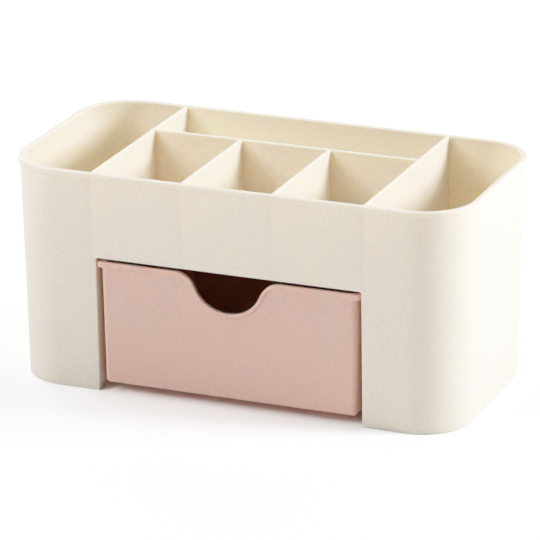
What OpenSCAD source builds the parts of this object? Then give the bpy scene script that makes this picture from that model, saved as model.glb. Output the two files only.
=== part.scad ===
// Desktop organiser with a drawer: a one-piece moulded body with six open
// compartments, and a moulded tray that slides under the middle ones.
// Width runs along X, depth along Y with the front at -Y, height along Z.
// The origin is on the table, under the middle of the rim.

/* [Body] */
// Width over the rim
body_w = 220; // [190:1:260]
// Depth over the rim, front to back
body_d = 112; // [96:1:140]
// Height from the table to the rim
body_h = 104.5; // [92:0.5:130]
// Radius of the four upright corners, at the rim
corner_r = 25.5; // [12:0.5:32]
// Thickness of the outer wall
wall_t = 1.8; // [1.4:0.1:2.4]
// Thickness of every floor
floor_t = 1.8; // [1.4:0.1:2.4]
// Draft of the outside and the inside, in degrees
draft = 1.2; // [0.5:0.1:1.5]
// Rounding of the edge that the body stands on
base_r = 0.4; // [0.2:0.1:0.8]

/* [Rim] */
// How far the rim lip stands out from the wall
rim_out = 0.9; // [0.4:0.1:1.6]
// Height of the rim lip
rim_h = 2.8; // [1.5:0.1:5]
// Rounding of the edges of the rim, of the dividers and of the drawer's lip
edge_r = 0.6; // [0.3:0.1:0.7]

/* [Foot] */
// Height of the end bays' underside above the table
foot_h = 1.5; // [0.5:0.1:3]
// Width of the edge that the body stands on
foot_w = 3; // [2.5:0.1:5]

/* [Compartments] */
// Clear width of the middle bays together, at the rim
middle_w = 128.6; // [110:0.2:140]
// Clear depth of the long bay along the back, at the rim
rear_bay_d = 36.4; // [20:0.2:45]
// Number of small bays along the front
front_bays = 3; // [2:1:4]
// Thickness of the dividers at the rim
divider_t = 1.8; // [1.5:0.1:2.4]
// Draft of each face of a divider, in degrees
divider_draft = 0.5; // [0.2:0.1:0.8]
// Step down from the rim to the long dividers, and on to each divider between them
divider_step = 0.1; // [0.1:0.1:1]
// Fillet between the end bays' floors and walls
floor_r = 2.5; // [1:0.1:4]

/* [Drawer bay] */
// How much narrower the drawer bay is than the middle bays over it
bay_step = 0.6; // [0:0.1:2]
// Height of the opening for the drawer
opening_h = 64.3; // [50:0.1:72]
// Radius of the opening's two upper corners
opening_r = 1.2; // [0.5:0.1:3]
// Height of the rails that carry the drawer's lip
rail_t = 2; // [1.5:0.1:4]
// How far the rails start behind the front wall
rail_setback = 8; // [3:0.5:20]

/* [Drawer] */
// Gap between the top of the drawer and the opening
top_gap = 1.7; // [0.6:0.1:2.5]
// Gap between the bottom of the drawer and the table
drawer_lift = 4.6; // [2:0.1:8]
// Gap at each side of the drawer's lip, and between lip and rail
running_gap = 0.3; // [0.2:0.05:0.6]
// Gap behind the closed drawer
rear_gap = 0.5; // [0.3:0.1:2]
// Thickness of the drawer's walls and floor
tray_t = 1.4; // [1.2:0.1:2.4]
// Draft of the drawer, in degrees
tray_draft = 1; // [0.5:0.1:1.2]
// How far the drawer's face lies behind the body's face
face_setback = 0.2; // [0:0.1:2]
// Thickness of the drawer's lip
lip_t = 2.6; // [2.4:0.1:3.2]
// How far the lip stands out at the drawer's sides
lip_side = 2; // [1.5:0.1:4]
// How far the lip stands out at the front and the back
lip_front = 0.7; // [0.7:0.1:1.5]
// Radius of the drawer's upright corners outside, at the top
tray_r = 2.7; // [2.4:0.1:6]
// Radius of the drawer's upright corners inside, at the top
tray_inner_r = 2.3; // [2.2:0.1:4]
// Rounding between the drawer's sides and its bottom
bottom_r = 1.5; // [0.8:0.1:3]
// Radius of the finger notch
notch_r = 17.2; // [10:0.1:22]
// Radius of the shoulders on either side of the notch
shoulder_r = 10; // [6:0.5:16]
// Width of the bead that follows the notch
bead_w = 1.8; // [1:0.1:1.8]
// How far the bead stands out
bead_out = 0.6; // [0.3:0.1:0.6]

/* [Hidden] */
$fn = 96;
// Facets in the full circle of a small rounding
round_fn = 32;
// Overrun that takes a cut clean through a face, or a rib into its wall
over = 1;
// Share of a corner's radius that the fillet at its foot may take up
fillet_share = 0.9;
// Share of the drawer's wall that the bead's root goes into
root_share = 0.7;
// The bead's ends are smaller than its middle by bead_ease, and run on into it
// over the angle bead_lap
bead_ease = 0.05;
bead_lap = 3;

// Places that two shapes share are kept to a hundredth of a millimetre, so that
// the shapes meet exactly
function tidy(v) = round(v * 100) / 100;

// Body: how far a drafted face has drawn in at height z, and where the front
// face lies there
function drawn_in(z) = (body_h - z) * tan(draft);
function face_y(z) = -(body_d / 2 - rim_out - drawn_in(z));
inner_face = -rim_out - wall_t;
end_floor_z = foot_h + floor_t;

// Compartments
deck_z = opening_h + floor_t;
bay_wall_x = (middle_w + divider_t) / 2;
cross_y = body_d / 2 + inner_face - rear_bay_d - divider_t / 2;
front_pitch = (middle_w + divider_t) / front_bays;

// Drawer bay and drawer
bay_w = middle_w - bay_step;
bay_back_y = tidy(body_d / 2 + inner_face - drawn_in(0));
drawer_top = opening_h - top_gap;
tray_h = drawer_top - drawer_lift;
lip_front_y = tidy(face_y(drawer_top) + face_setback - lip_front);
lip_back_y = bay_back_y - rear_gap;
lip_w = bay_w - 2 * running_gap;
lip_d = lip_back_y - lip_front_y;
tray_w = lip_w - 2 * lip_side;
tray_d = lip_d - 2 * lip_front;
tray_y = (lip_front_y + lip_back_y) / 2;
// The tray draws in this much from its lip to its bottom. Its upright corners
// are sharpest there, and limit the fillets that run round its bottom
tray_drawn_in = tray_h * tan(tray_draft);
tray_edge_r = min(bottom_r, tidy(fillet_share * (tray_r - tray_drawn_in)));
tray_floor_r = min(bottom_r, tidy(fillet_share * (tray_inner_r - tray_drawn_in)));
rail_top = drawer_top - lip_t - running_gap;
rail_w = lip_side - running_gap;
rail_front_y = face_y(rail_top) + wall_t + rail_setback;

// Finger notch: its half round is centred on the drawer's top edge, and its
// shoulders touch that edge shoulder_x to either side. The half round meets the
// shoulders at the angle notch_dip below the edge
shoulder_x = sqrt((notch_r + shoulder_r) ^ 2 - shoulder_r ^ 2);
notch_dip = asin(shoulder_r / (notch_r + shoulder_r));
// The bead ends at this angle round the shoulders, inside the lip
bead_end = 180 - asin((shoulder_r - lip_t + edge_r / 2) / (shoulder_r - bead_w + bead_ease));
bead_r = min(edge_r, bead_out - bead_ease);

// The part of a profile within a distance c of the outline, seen from c inside
module reach(c) {
    intersection() {
        translate([c, 0]) children();
        translate([0, -over]) square([c + body_w, 2 * body_h]);
    }
}

// Carries a profile round a rounded rectangle, w by d with corners of radius r,
// and fills the middle. In the profile X is the distance outwards from the
// rectangle, so the solid lies at negative X, and Y is the height.
module carried_round(w, d, r) {
    for (turn = [0, 180])
        rotate(turn) {
            translate([w / 2 - r, 0, 0])
                rotate([90, 0, 0])
                    linear_extrude(d - 2 * r, center = true)
                        reach(r) children();
            rotate([90, 0, 90])
                linear_extrude(w - 2 * r, center = true)
                    reach(d / 2) children();
        }
    for (corner = [[1, 1, 0], [-1, 1, 90], [-1, -1, 180], [1, -1, 270]])
        translate([corner.x * (w / 2 - r), corner.y * (d / 2 - r), 0])
            rotate(corner.z)
                rotate_extrude(angle = 90)
                    reach(r) children();
}

// Profile of a solid that draws in towards its base: the face is at x at the
// height h, and a quarter round of radius r leads from its foot to the base
module drafted_profile(x, h, r, angle) {
    foot_x = tidy(x - (h - r) * tan(angle));
    translate([-body_w, 0]) square([body_w + foot_x - r, r]);
    intersection() {
        translate([foot_x - r, r]) circle(r, $fn = round_fn);
        translate([foot_x - r, 0]) square(r);
    }
    polygon([[-body_w, r], [foot_x, r], [x, h], [-body_w, h]]);
}

// An upright band from x0 to x1 and from z0 to z1 with both top corners rounded
module round_topped(x0, x1, z0, z1, r) {
    translate([x0, z0]) square([x1 - x0, z1 - z0 - r]);
    translate([x0 + r, z0]) square([x1 - x0 - 2 * r, z1 - z0]);
    for (x = [x0 + r, x1 - r])
        translate([x, z1 - r]) circle(r, $fn = round_fn);
}

// Profile of a lip from z0 to z1 that ends at X = 0 in two rounded edges
module lip_profile(z0, z1) {
    translate([-body_w, z0]) square([body_w - edge_r, z1 - z0]);
    translate([-body_w, z0 + edge_r]) square([body_w, z1 - z0 - 2 * edge_r]);
    for (z = [z0 + edge_r, z1 - edge_r])
        translate([-edge_r, z]) circle(edge_r, $fn = round_fn);
}

// Profile of a pocket's mouth: straight at x, then widened by a quarter round
// so that the wall beside it is left with a rounded top edge
module mouth_profile(x) {
    translate([-body_w, body_h - edge_r]) square([body_w + x, edge_r + over]);
    difference() {
        translate([x, body_h - edge_r]) square([edge_r, edge_r + over]);
        translate([x + edge_r, body_h - edge_r]) circle(edge_r, $fn = round_fn);
    }
}

// Outside of the body: drafted walls, and the lip round the rim
module outside() {
    lip_middle_z = body_h - rim_h / 2;
    carried_round(body_w, body_d, corner_r) {
        drafted_profile(-rim_out - drawn_in(lip_middle_z), lip_middle_z, base_r, draft);
        lip_profile(body_h - rim_h, body_h);
    }
}

// Inside of the body before it is divided, parallel to the outside
module inside() {
    carried_round(body_w, body_d, corner_r) {
        translate([0, end_floor_z])
            drafted_profile(inner_face, body_h - edge_r - end_floor_z, floor_r, draft);
        mouth_profile(inner_face);
    }
}

// A drafted divider with a rounded top edge, along Y, from the height z0 up to
// as many steps below the rim as are given
module divider(length, z0, steps) {
    half = divider_t / 2;
    top = body_h - steps * divider_step;
    spread = (top - edge_r - z0) * tan(divider_draft);
    rotate([90, 0, 0])
        linear_extrude(length, center = true) {
            polygon([
                [-half, top - edge_r],
                [half, top - edge_r],
                [half + spread, z0],
                [-half - spread, z0],
            ]);
            round_topped(-half, half, top - edge_r - over, top, edge_r);
        }
}

// What stands inside the body: the walls beside the drawer bay, the deck over
// it, the cross divider and the short dividers in front of it
module partitions() {
    front_length = cross_y + body_d / 2;
    for (side = [-1, 1])
        translate([side * bay_wall_x, 0, 0]) divider(body_d, 0, 1);
    translate([-bay_wall_x, -body_d / 2, 0]) cube([2 * bay_wall_x, body_d, deck_z]);
    translate([0, cross_y, 0]) rotate(90) divider(2 * bay_wall_x, opening_h, 2);
    for (i = [1:front_bays - 1])
        translate([i * front_pitch - bay_wall_x, cross_y - front_length / 2, 0])
            divider(front_length, opening_h, 3);
}

// Space for the drawer, open at the front and underneath
module drawer_bay() {
    translate([0, bay_back_y, 0])
        rotate([90, 0, 0])
            linear_extrude(body_d)
                round_topped(-bay_w / 2, bay_w / 2, -over, opening_h, opening_r);
}

// Shallow recesses under the end bays, which leave an edge to stand on
module foot_recesses() {
    inset = rim_out + drawn_in(0) + foot_w;
    r = corner_r - inset;
    translate([0, 0, -over])
        linear_extrude(foot_h + over)
            difference() {
                union() {
                    square([body_w - 2 * corner_r, body_d - 2 * inset], center = true);
                    square([body_w - 2 * inset, body_d - 2 * corner_r], center = true);
                    for (x = [-1, 1], y = [-1, 1])
                        translate([x * (body_w / 2 - corner_r), y * (body_d / 2 - corner_r)])
                            circle(r);
                }
                square([bay_w + 2 * foot_w, body_d], center = true);
            }
}

// Rails on the walls of the drawer bay, under the drawer's lip
module rails() {
    length = bay_back_y - rail_front_y + over;
    for (side = [0, 1])
        mirror([side, 0, 0])
            translate([bay_w / 2 - rail_w, rail_front_y, rail_top - rail_t])
                cube([rail_w + over, length, rail_t]);
}

module organizer_body() {
    color("antiquewhite") {
        difference() {
            outside();
            difference() {
                inside();
                partitions();
            }
            drawer_bay();
            foot_recesses();
        }
        rails();
    }
}

// The finger notch, seen from the front
module notch() {
    translate([0, drawer_top]) circle(notch_r);
    for (side = [-1, 1])
        difference() {
            polygon([
                [0, drawer_top],
                [side * shoulder_x, drawer_top - shoulder_r],
                [side * shoulder_x, drawer_top + over],
                [0, drawer_top + over],
            ]);
            translate([side * shoulder_x, drawer_top - shoulder_r]) circle(shoulder_r);
        }
}

// An arc of the bead from the angle a0 to a1 and from the radius r0 to r1. It
// lies flat, and stands up from the plane by the height given
module bead_arc(a0, a1, r0, r1, height) {
    rotate(a0)
        rotate_extrude(angle = a1 - a0)
            round_topped(r0, r1, -root_share * tray_t, height, bead_r);
}

// Bead along the notch, laid on the drafted face. It reaches into the notch,
// which is cut through it later, and its ends run out inside the lip
module bead() {
    translate([0, lip_front_y + lip_front, drawer_top])
        rotate([90 + tray_draft, 0, 0]) {
            bead_arc(180 + notch_dip, 360 - notch_dip, notch_r - over, notch_r + bead_w, bead_out);
            for (side = [0, 1])
                mirror([side, 0, 0])
                    translate([shoulder_x, -shoulder_r, 0])
                        bead_arc(bead_end, 180 - notch_dip + bead_lap,
                            shoulder_r - bead_w + bead_ease, shoulder_r + over, bead_out - bead_ease);
        }
}

module drawer() {
    // The notch is cut past the furthest place of the front wall's inner face
    notch_back_y = lip_front_y + lip_front + tray_t + tray_drawn_in + over;
    color("rosybrown")
        difference() {
            union() {
                translate([0, tray_y, 0]) {
                    translate([0, 0, drawer_lift])
                        carried_round(tray_w, tray_d, tray_r)
                            drafted_profile(0, tray_h, tray_edge_r, tray_draft);
                    carried_round(lip_w, lip_d, tray_r)
                        lip_profile(drawer_top - lip_t, drawer_top);
                }
                bead();
            }
            translate([0, tray_y, drawer_lift + tray_t])
                carried_round(tray_w - 2 * tray_t, tray_d - 2 * tray_t, tray_inner_r) {
                    drafted_profile(0, tray_h - tray_t, tray_floor_r, tray_draft);
                    translate([-body_w, tray_h - tray_t]) square([body_w, over]);
                }
            translate([0, notch_back_y, 0])
                rotate([90, 0, 0])
                    linear_extrude(notch_back_y - lip_front_y + over)
                        notch();
        }
}

organizer_body();
drawer();
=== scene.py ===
import math

import bpy
from mathutils import Matrix, Vector

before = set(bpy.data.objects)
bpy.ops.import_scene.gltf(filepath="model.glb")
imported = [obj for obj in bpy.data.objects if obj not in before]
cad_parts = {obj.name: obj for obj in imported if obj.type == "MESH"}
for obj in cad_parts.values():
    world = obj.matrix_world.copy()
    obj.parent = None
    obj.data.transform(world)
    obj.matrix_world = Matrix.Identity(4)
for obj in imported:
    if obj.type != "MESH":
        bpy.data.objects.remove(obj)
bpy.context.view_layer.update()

# Camera. A long lens, 22 degrees to the right of the front and 19 degrees
# above the table, at the place and turn that the photograph was taken from.
camera_place = Vector((0.65211, -1.59485, 0.65715))
yaw = math.radians(22.28112)
pitch = math.radians(19.4505)
roll = math.radians(-0.45376)
lens = bpy.data.cameras.new("camera")
lens.sensor_width = 36.0
lens.lens = 266.54
lens.clip_start, lens.clip_end = 0.1, 20.0
ahead = Vector((-math.sin(yaw) * math.cos(pitch),
                math.cos(yaw) * math.cos(pitch), -math.sin(pitch)))
level = Vector((math.cos(yaw), math.sin(yaw), 0))
upward = level.cross(ahead)
right = math.cos(roll) * level + math.sin(roll) * upward
upright = math.cos(roll) * upward - math.sin(roll) * level
turn = Matrix((right, upright, -ahead)).transposed().to_4x4()
camera = bpy.data.objects.new("camera", lens)
camera.matrix_world = Matrix.Translation(camera_place) @ turn
bpy.context.scene.collection.objects.link(camera)
bpy.context.scene.camera = camera

# Organiser body. One injection moulding in warm cream polypropylene, with a
# satin skin, drawn sides and thin dividers that leave faint sinks outside.
cloud_scale, cloud_detail = 9.0, 3.0
mottle_scale, mottle_detail = 750.0, 1.0
mottle_low, mottle_high = 0.35, 0.65
mottle_share = 0.85
pebble_scale, pebble_detail = 900.0, 4.0
pebble_height, pebble_strength = 0.00004, 0.3
gloss_swing = 0.05
plastic_ior = 1.49
millimetre = 0.001
sink_half_width = 0.0026
sink_depth = 0.00012


def add_node(tree, kind, **numbers):
    """A shader node of this kind. The numbers are named like its sockets, with
    an underscore for a space."""
    node = tree.nodes.new("ShaderNode" + kind)
    for socket, number in numbers.items():
        node.inputs[socket.replace("_", " ")].default_value = number
    return node


def add_sum(tree, operation, first, second=None):
    """The outcome of a sum with one linked value, and a second one that is
    linked, a fixed number or left out."""
    node = tree.nodes.new("ShaderNodeMath")
    node.operation = operation
    tree.links.new(first, node.inputs[0])
    if isinstance(second, float):
        node.inputs[1].default_value = second
    elif second is not None:
        tree.links.new(second, node.inputs[1])
    return node.outputs["Value"]


def moulded_plastic(name, tint, shade, gloss_rough, spread, ribs):
    """A satin moulded plastic: a colour that drifts and mottles a little
    between the tint and the shade, light that spreads through the thin walls,
    fine skin texture and faint sinks as bump, and gloss that varies with a
    soft cloud. The spread is in millimetres for red, green and blue. A rib is
    its place from left to right and the place towards the back where it ends."""
    finish = bpy.data.materials.new(name)
    finish.use_nodes = True
    tree = finish.node_tree
    links = tree.links
    tree.nodes.clear()
    out = add_node(tree, "OutputMaterial")
    skin = add_node(tree, "BsdfPrincipled", IOR=plastic_ior, Subsurface_Weight=1.0,
                    Subsurface_Radius=spread, Subsurface_Scale=millimetre)
    links.new(skin.outputs["BSDF"], out.inputs["Surface"])
    place = add_node(tree, "TexCoord").outputs["Object"]

    cloud = add_node(tree, "TexNoise", Scale=cloud_scale, Detail=cloud_detail)
    links.new(place, cloud.inputs["Vector"])
    mottle = add_node(tree, "TexNoise", Scale=mottle_scale, Detail=mottle_detail)
    links.new(place, mottle.inputs["Vector"])
    speck = add_node(tree, "MapRange", From_Min=mottle_low, From_Max=mottle_high)
    links.new(mottle.outputs["Fac"], speck.inputs["Value"])
    drift = add_node(tree, "Mix", Factor=mottle_share)
    links.new(cloud.outputs["Fac"], drift.inputs["A"])
    links.new(speck.outputs["Result"], drift.inputs["B"])
    tone = add_node(tree, "Mix")
    tone.data_type = "RGBA"
    tone.inputs["A"].default_value = tint
    tone.inputs["B"].default_value = shade
    links.new(drift.outputs["Result"], tone.inputs["Factor"])
    links.new(tone.outputs["Result"], skin.inputs["Base Color"])

    gloss = add_node(tree, "MapRange", To_Min=gloss_rough - gloss_swing,
                     To_Max=gloss_rough + gloss_swing)
    links.new(cloud.outputs["Fac"], gloss.inputs["Value"])
    links.new(gloss.outputs["Result"], skin.inputs["Roughness"])

    pebble = add_node(tree, "TexNoise", Scale=pebble_scale, Detail=pebble_detail)
    links.new(place, pebble.inputs["Vector"])
    grain = add_node(tree, "Bump", Strength=pebble_strength, Distance=pebble_height)
    links.new(pebble.outputs["Fac"], grain.inputs["Height"])
    links.new(grain.outputs["Normal"], skin.inputs["Normal"])

    # Sinks: the surface dips by a tenth of a millimetre where a rib meets its
    # other side, and rises again over the half width on each side
    if ribs:
        across = add_node(tree, "SeparateXYZ")
        links.new(place, across.inputs["Vector"])
        nearest = None
        for rib, rib_end in ribs:
            aside = add_sum(tree, "ABSOLUTE", add_sum(tree, "SUBTRACT", across.outputs["X"], rib))
            behind = add_sum(tree, "SUBTRACT", across.outputs["Y"], rib_end)
            distance = add_sum(tree, "MAXIMUM", aside, behind)
            if nearest is None:
                nearest = distance
            else:
                nearest = add_sum(tree, "MINIMUM", nearest, distance)
        dip = add_node(tree, "MapRange", From_Max=sink_half_width)
        dip.interpolation_type = "SMOOTHSTEP"
        links.new(nearest, dip.inputs["Value"])
        sink = add_node(tree, "Bump", Strength=1.0, Distance=sink_depth)
        links.new(dip.outputs["Result"], sink.inputs["Height"])
        links.new(sink.outputs["Normal"], grain.inputs["Normal"])
    return finish


def dress(node, finish):
    """The piece with one finish all over."""
    node.data.materials.clear()
    node.data.materials.append(finish)


end_walls, small_dividers = 0.0652, 0.02173
end_wall_back, divider_back = 0.06, 0.02
cream = moulded_plastic(
    "cream_polypropylene", tint=(0.867, 0.797, 0.692, 1), shade=(0.809, 0.742, 0.645, 1),
    gloss_rough=0.38, spread=(3.0, 2.6, 2.0),
    ribs=((-end_walls, end_wall_back), (-small_dividers, divider_back),
          (small_dividers, divider_back), (end_walls, end_wall_back)))
dress(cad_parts["organizer_body"], cream)

# Drawer. A second moulding in dusty pink polypropylene, hung by its lip on the
# body's rails, with a finger notch in its front edge.
pink = moulded_plastic(
    "pink_polypropylene", tint=(0.812, 0.542, 0.456, 1), shade=(0.756, 0.504, 0.424, 1),
    gloss_rough=0.42, spread=(2.4, 0.8, 0.4), ribs=())
dress(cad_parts["drawer"], pink)

# Table. A plain white sheet, far wider than the view. It shows 1.4 times as
# bright as it lights the object, like a background that is cleaned to white.
sheet_half = 3.0
sheet_white = 0.9
sheet_shown = 1.4 * sheet_white
table_mesh = bpy.data.meshes.new("table")
table_mesh.from_pydata([(-sheet_half, -sheet_half, 0), (sheet_half, -sheet_half, 0),
                        (sheet_half, sheet_half, 0), (-sheet_half, sheet_half, 0)],
                       [], [(0, 1, 2, 3)])
table = bpy.data.objects.new("table", table_mesh)
bpy.context.scene.collection.objects.link(table)
white = bpy.data.materials.new("white_sheet")
white.use_nodes = True
paper = white.node_tree
paper.nodes.clear()
surface = add_node(paper, "OutputMaterial")
either = add_node(paper, "MixShader")
lit = add_node(paper, "BsdfDiffuse", Color=(sheet_white, sheet_white, sheet_white, 1))
shown = add_node(paper, "BsdfDiffuse", Color=(sheet_shown, sheet_shown, sheet_shown, 1))
looked_at = add_node(paper, "LightPath")
paper.links.new(looked_at.outputs["Is Camera Ray"], either.inputs["Fac"])
paper.links.new(lit.outputs["BSDF"], either.inputs[1])
paper.links.new(shown.outputs["BSDF"], either.inputs[2])
paper.links.new(either.outputs["Shader"], surface.inputs["Surface"])
table_mesh.materials.append(white)

# Light. A strong soft box on the right and five weaker ones behind, on the
# left and overhead, each turned to the object, in a dim room that shows white.
lamp_distance = 1.7
aim = Vector((0, 0, 0.05))
room_light, room_shown = 0.01, 1.0
bounces = 24


def soft_box(name, azimuth, height_angle, width, watts):
    """A square lamp that faces the object. The azimuth runs from the front
    towards the right, in degrees, like the height angle."""
    around, above = math.radians(azimuth), math.radians(height_angle)
    away = Vector((math.sin(around) * math.cos(above), -math.cos(around) * math.cos(above),
                   math.sin(above)))
    lamp = bpy.data.lights.new(name, "AREA")
    lamp.shape = "SQUARE"
    lamp.size = width
    lamp.energy = watts
    box = bpy.data.objects.new(name, lamp)
    box.location = aim + lamp_distance * away
    box.rotation_euler = (-away).to_track_quat("-Z", "Y").to_euler()
    bpy.context.scene.collection.objects.link(box)


soft_box("key_box", azimuth=105, height_angle=24, width=0.5, watts=18.9)
soft_box("rear_right_box", azimuth=165, height_angle=36, width=0.75, watts=3.9)
soft_box("rear_left_box", azimuth=225, height_angle=14, width=0.62, watts=5.6)
soft_box("left_high_box", azimuth=270, height_angle=62, width=0.95, watts=5.1)
soft_box("front_left_box", azimuth=315, height_angle=36, width=0.75, watts=8.7)
soft_box("overhead_box", azimuth=0, height_angle=90, width=0.9, watts=2.4)
room = bpy.data.worlds.new("room")
room.use_nodes = True
air = room.node_tree
background = air.nodes["Background"]
background.inputs["Color"].default_value = (1, 1, 1, 1)
seen = add_node(air, "LightPath")
brightness = add_node(air, "MapRange", To_Min=room_light, To_Max=room_shown)
air.links.new(seen.outputs["Is Camera Ray"], brightness.inputs["Value"])
air.links.new(brightness.outputs["Result"], background.inputs["Strength"])
bpy.context.scene.world = room
# Light goes round inside the pale bays and the drawer many times
bpy.context.scene.cycles.max_bounces = bounces
bpy.context.scene.cycles.diffuse_bounces = bounces

# Print. The tone is 1 - (1 - light) ^ 2.3, which lifts the shadows and rolls
# off to white. It is laid on the curve at places that lie closer in the dark.
shoulder = 2.3
curve_steps = 20
view = bpy.context.scene.view_settings
view.view_transform = "Standard"
view.look = "None"
view.exposure = 0.0
view.gamma = 1.0
view.use_curve_mapping = True
tone_curve = view.curve_mapping.curves[3]
for step in range(1, curve_steps):
    light = (step / curve_steps) ** 2
    tone_curve.points.new(light, 1 - (1 - light) ** shoulder)
view.curve_mapping.update()
